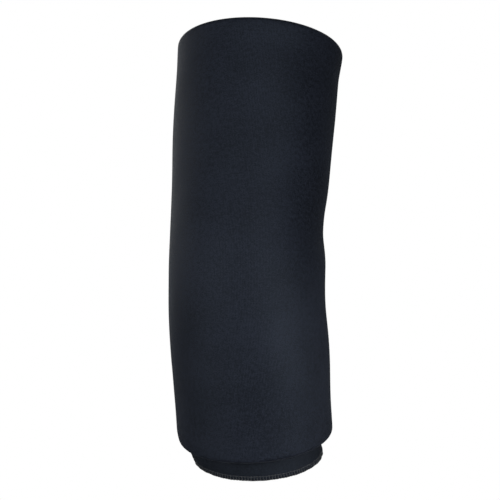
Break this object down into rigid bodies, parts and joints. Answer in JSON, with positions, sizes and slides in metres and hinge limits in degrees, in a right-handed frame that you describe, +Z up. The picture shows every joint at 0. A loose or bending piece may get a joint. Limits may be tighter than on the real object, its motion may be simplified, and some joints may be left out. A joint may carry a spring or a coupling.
{
  "type": "elbow pad",
  "caption": "Padded elbow sleeve: a pre-bent tube of stretch fabric over foam, with a gripper band in the top opening and a knit cuff at the forearm.",
  "frame": {"origin": "centre of the gripper band in the upper-arm opening, on the upper arm's axis", "axes": "+Z up the sleeve towards the upper-arm opening, +Y towards the crook of the elbow, so the elbow point faces -Y, and X along the axis that the elbow bends about"},
  "size_m": [0.1028, 0.1376, 0.2821],
  "materials": {
    "outer_cover": "matt fine-knit nylon and elastane, with a soft sheen at the edges",
    "cover_seam": "flat overlocked seam, matt",
    "foam": null,
    "lining": "plain knit, matt",
    "gripper_band": "ribbed elastic webbing, matt",
    "silicone": "soft translucent dark silicone, satin",
    "thread": "spun polyester thread, matt",
    "label": "blank satin ribbon",
    "pad_cushion": "soft low-density foam, matt; fabric stands in for foam",
    "cuff": "ribbed stretch knit, matt",
    "elastic": "braided elastic, matt"
  },
  "bodies": {
    "upper_arm": {"outer_cover_upper": "outer_cover", "foam_upper": "foam", "lining_upper": "lining", "gripper_band": "gripper_band", "gripper_silicone": "silicone", "gripper_stitching": "thread", "care_label": "label", "cover_seam_upper": "cover_seam"},
    "elbow_pad": {"outer_cover_elbow": "outer_cover", "elbow_pad_shell": "foam", "elbow_pad_cushion": "pad_cushion", "pad_pocket": "lining", "lining_elbow": "lining", "cover_seam_elbow": "cover_seam"},
    "forearm": {"outer_cover_forearm": "outer_cover", "foam_forearm": "foam", "lining_forearm": "lining", "cuff": "cuff", "cuff_elastic": "elastic", "cuff_overlock": "thread", "cuff_join_stitching": "thread", "cover_seam_forearm": "cover_seam"}
  },
  "joints": [
    {"name": "elbow_flex", "type": "hinge", "parent": "upper_arm", "child": "forearm", "pos_m": [0, -0.0352, -0.12275], "axis": [1, 0, 0], "range_deg": [-32, 73], "stiffness_Nm_per_rad": 0.3, "deforming": ["outer_cover_elbow", "lining_elbow", "cover_seam_elbow"]},
    {"name": "pad_follow", "type": "hinge", "parent": "upper_arm", "child": "elbow_pad", "pos_m": [0, -0.0352, -0.12275], "axis": [1, 0, 0], "range_deg": [-16, 36.5]}
  ],
  "couplings": [
    {"joint": "pad_follow", "follows": "elbow_flex", "ratio": 0.5}
  ]
}
